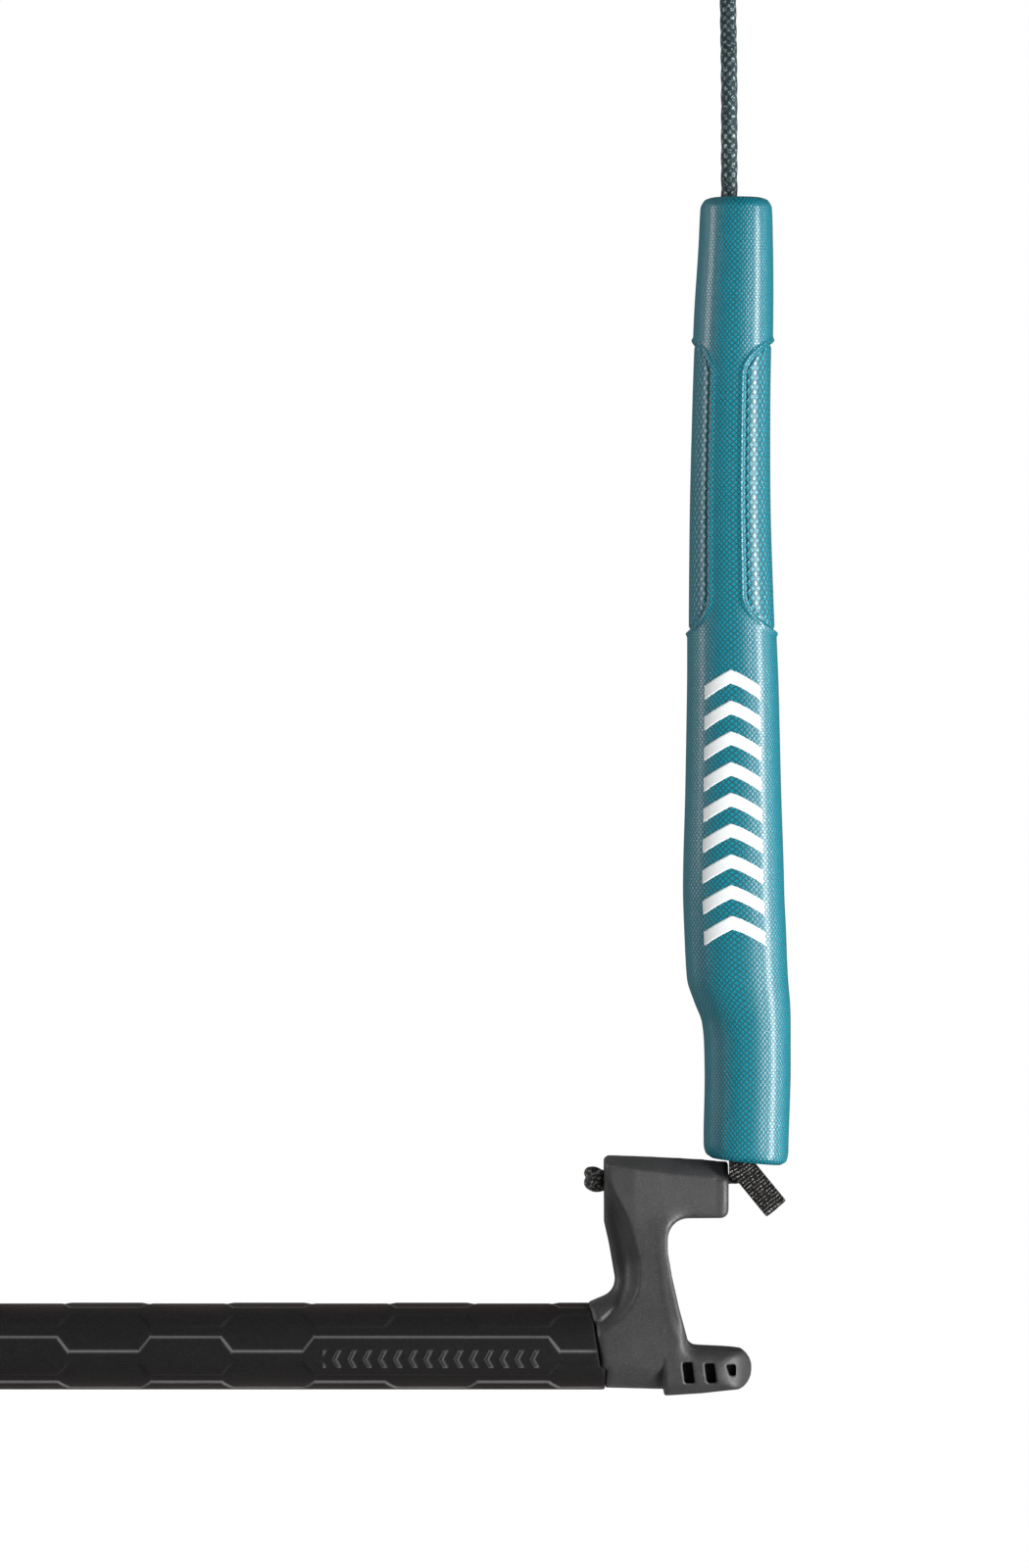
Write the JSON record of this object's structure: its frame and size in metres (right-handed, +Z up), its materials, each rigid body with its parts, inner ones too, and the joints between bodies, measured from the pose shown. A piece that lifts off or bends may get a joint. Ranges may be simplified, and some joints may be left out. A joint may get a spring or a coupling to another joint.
{
  "type": "kite control bar",
  "caption": "Kite control bar with soft grips, a through bore for the depower line, moulded line winders at its ends, and leader lines with sliding foam floats.",
  "frame": {"origin": "middle of the hub's through bore, on the bar's own axis", "axes": "+X along the bar to its right end, +Y the way the lines leave, +Z up from the surface that the bar lies on"},
  "size_m": [0.5998, 0.4957, 0.0266],
  "materials": {
    "tube_metal": "anodised, satin",
    "steel": "brushed",
    "hub_plastic": "moulded, fine grain",
    "winder_plastic": "moulded, matt, fine speckle",
    "grip_foam": "moulded foam, matt, fine grain",
    "float_foam_teal": "moulded foam with fine diamond texture, soft sheen",
    "float_foam_red": "moulded foam with fine diamond texture, soft sheen",
    "core_foam": "closed-cell foam",
    "seal_rubber": "smooth",
    "black_line": "braided, light flecks",
    "line_teal": "braided, pale flecks",
    "line_red": "braided, pale flecks",
    "webbing": "ribbed woven webbing"
  },
  "bodies": {
    "bar": {"center_core": "hub_plastic", "center_sleeve": "steel", "center_cover_top": "hub_plastic", "center_cover_bottom": "hub_plastic", "cover_screws": "steel", "tube_left": "tube_metal", "tube_right": "tube_metal", "grip_left": "grip_foam", "grip_right": "grip_foam", "tube_foam_left": "core_foam", "tube_foam_right": "core_foam", "winder_left": "winder_plastic", "winder_right": "winder_plastic", "spigot_seals_left": "seal_rubber", "spigot_seals_right": "seal_rubber", "lock_pin_left": "steel", "lock_pin_right": "steel"},
    "right_adjuster": {"stopper_knot_right": "black_line", "adjuster_line_right": "black_line"},
    "right_leader": {"adjuster_knots_right": "black_line", "leader_loop_right": "line_teal", "leader_core_right": "line_teal", "leader_line_right": "line_teal", "leader_coil_right": "line_teal", "coil_tie_right": "webbing", "leader_end_knot_right": "line_teal"},
    "right_float": {"float_right": "float_foam_teal"},
    "right_tab": {"pull_tab_right": "webbing"},
    "left_adjuster": {"stopper_knot_left": "black_line", "adjuster_line_left": "black_line"},
    "left_leader": {"adjuster_knots_left": "black_line", "leader_loop_left": "line_red", "leader_core_left": "line_red", "leader_line_left": "line_red", "leader_coil_left": "line_red", "coil_tie_left": "webbing", "leader_end_knot_left": "line_red"},
    "left_float": {"float_left": "float_foam_red"},
    "left_tab": {"pull_tab_left": "webbing"}
  },
  "joints": [
    {"name": "right_line_roll", "type": "hinge", "parent": "bar", "child": "right_adjuster", "pos_m": [0.242, 0.0508, 0], "axis": [1, 0, 0], "range_deg": [-90, 90]},
    {"name": "right_line_swing", "type": "hinge", "parent": "right_adjuster", "child": "right_leader", "pos_m": [0.247, 0.0508, 0], "axis": [0, 0, 1], "range_deg": [-50, 0]},
    {"name": "right_float_slide", "type": "slide", "parent": "right_leader", "child": "right_float", "axis": [-0.0151, 0.9999, 0], "range_m": [0, 0.025]},
    {"name": "right_tab_flap", "type": "hinge", "parent": "right_leader", "child": "right_tab", "pos_m": [0.24929, 0.05168, 0.0062], "axis": [-0.7732, -0.6342, 0], "range_deg": [0, 80]},
    {"name": "left_line_roll", "type": "hinge", "parent": "bar", "child": "left_adjuster", "pos_m": [-0.242, 0.0508, 0], "axis": [1, 0, 0], "range_deg": [-90, 90]},
    {"name": "left_line_swing", "type": "hinge", "parent": "left_adjuster", "child": "left_leader", "pos_m": [-0.247, 0.0508, 0], "axis": [0, 0, 1], "range_deg": [0, 50]},
    {"name": "left_float_slide", "type": "slide", "parent": "left_leader", "child": "left_float", "axis": [0.0151, 0.9999, 0], "range_m": [0, 0.025]},
    {"name": "left_tab_flap", "type": "hinge", "parent": "left_leader", "child": "left_tab", "pos_m": [-0.24929, 0.05168, 0.0062], "axis": [-0.7732, 0.6342, 0], "range_deg": [0, 80]}
  ]
}
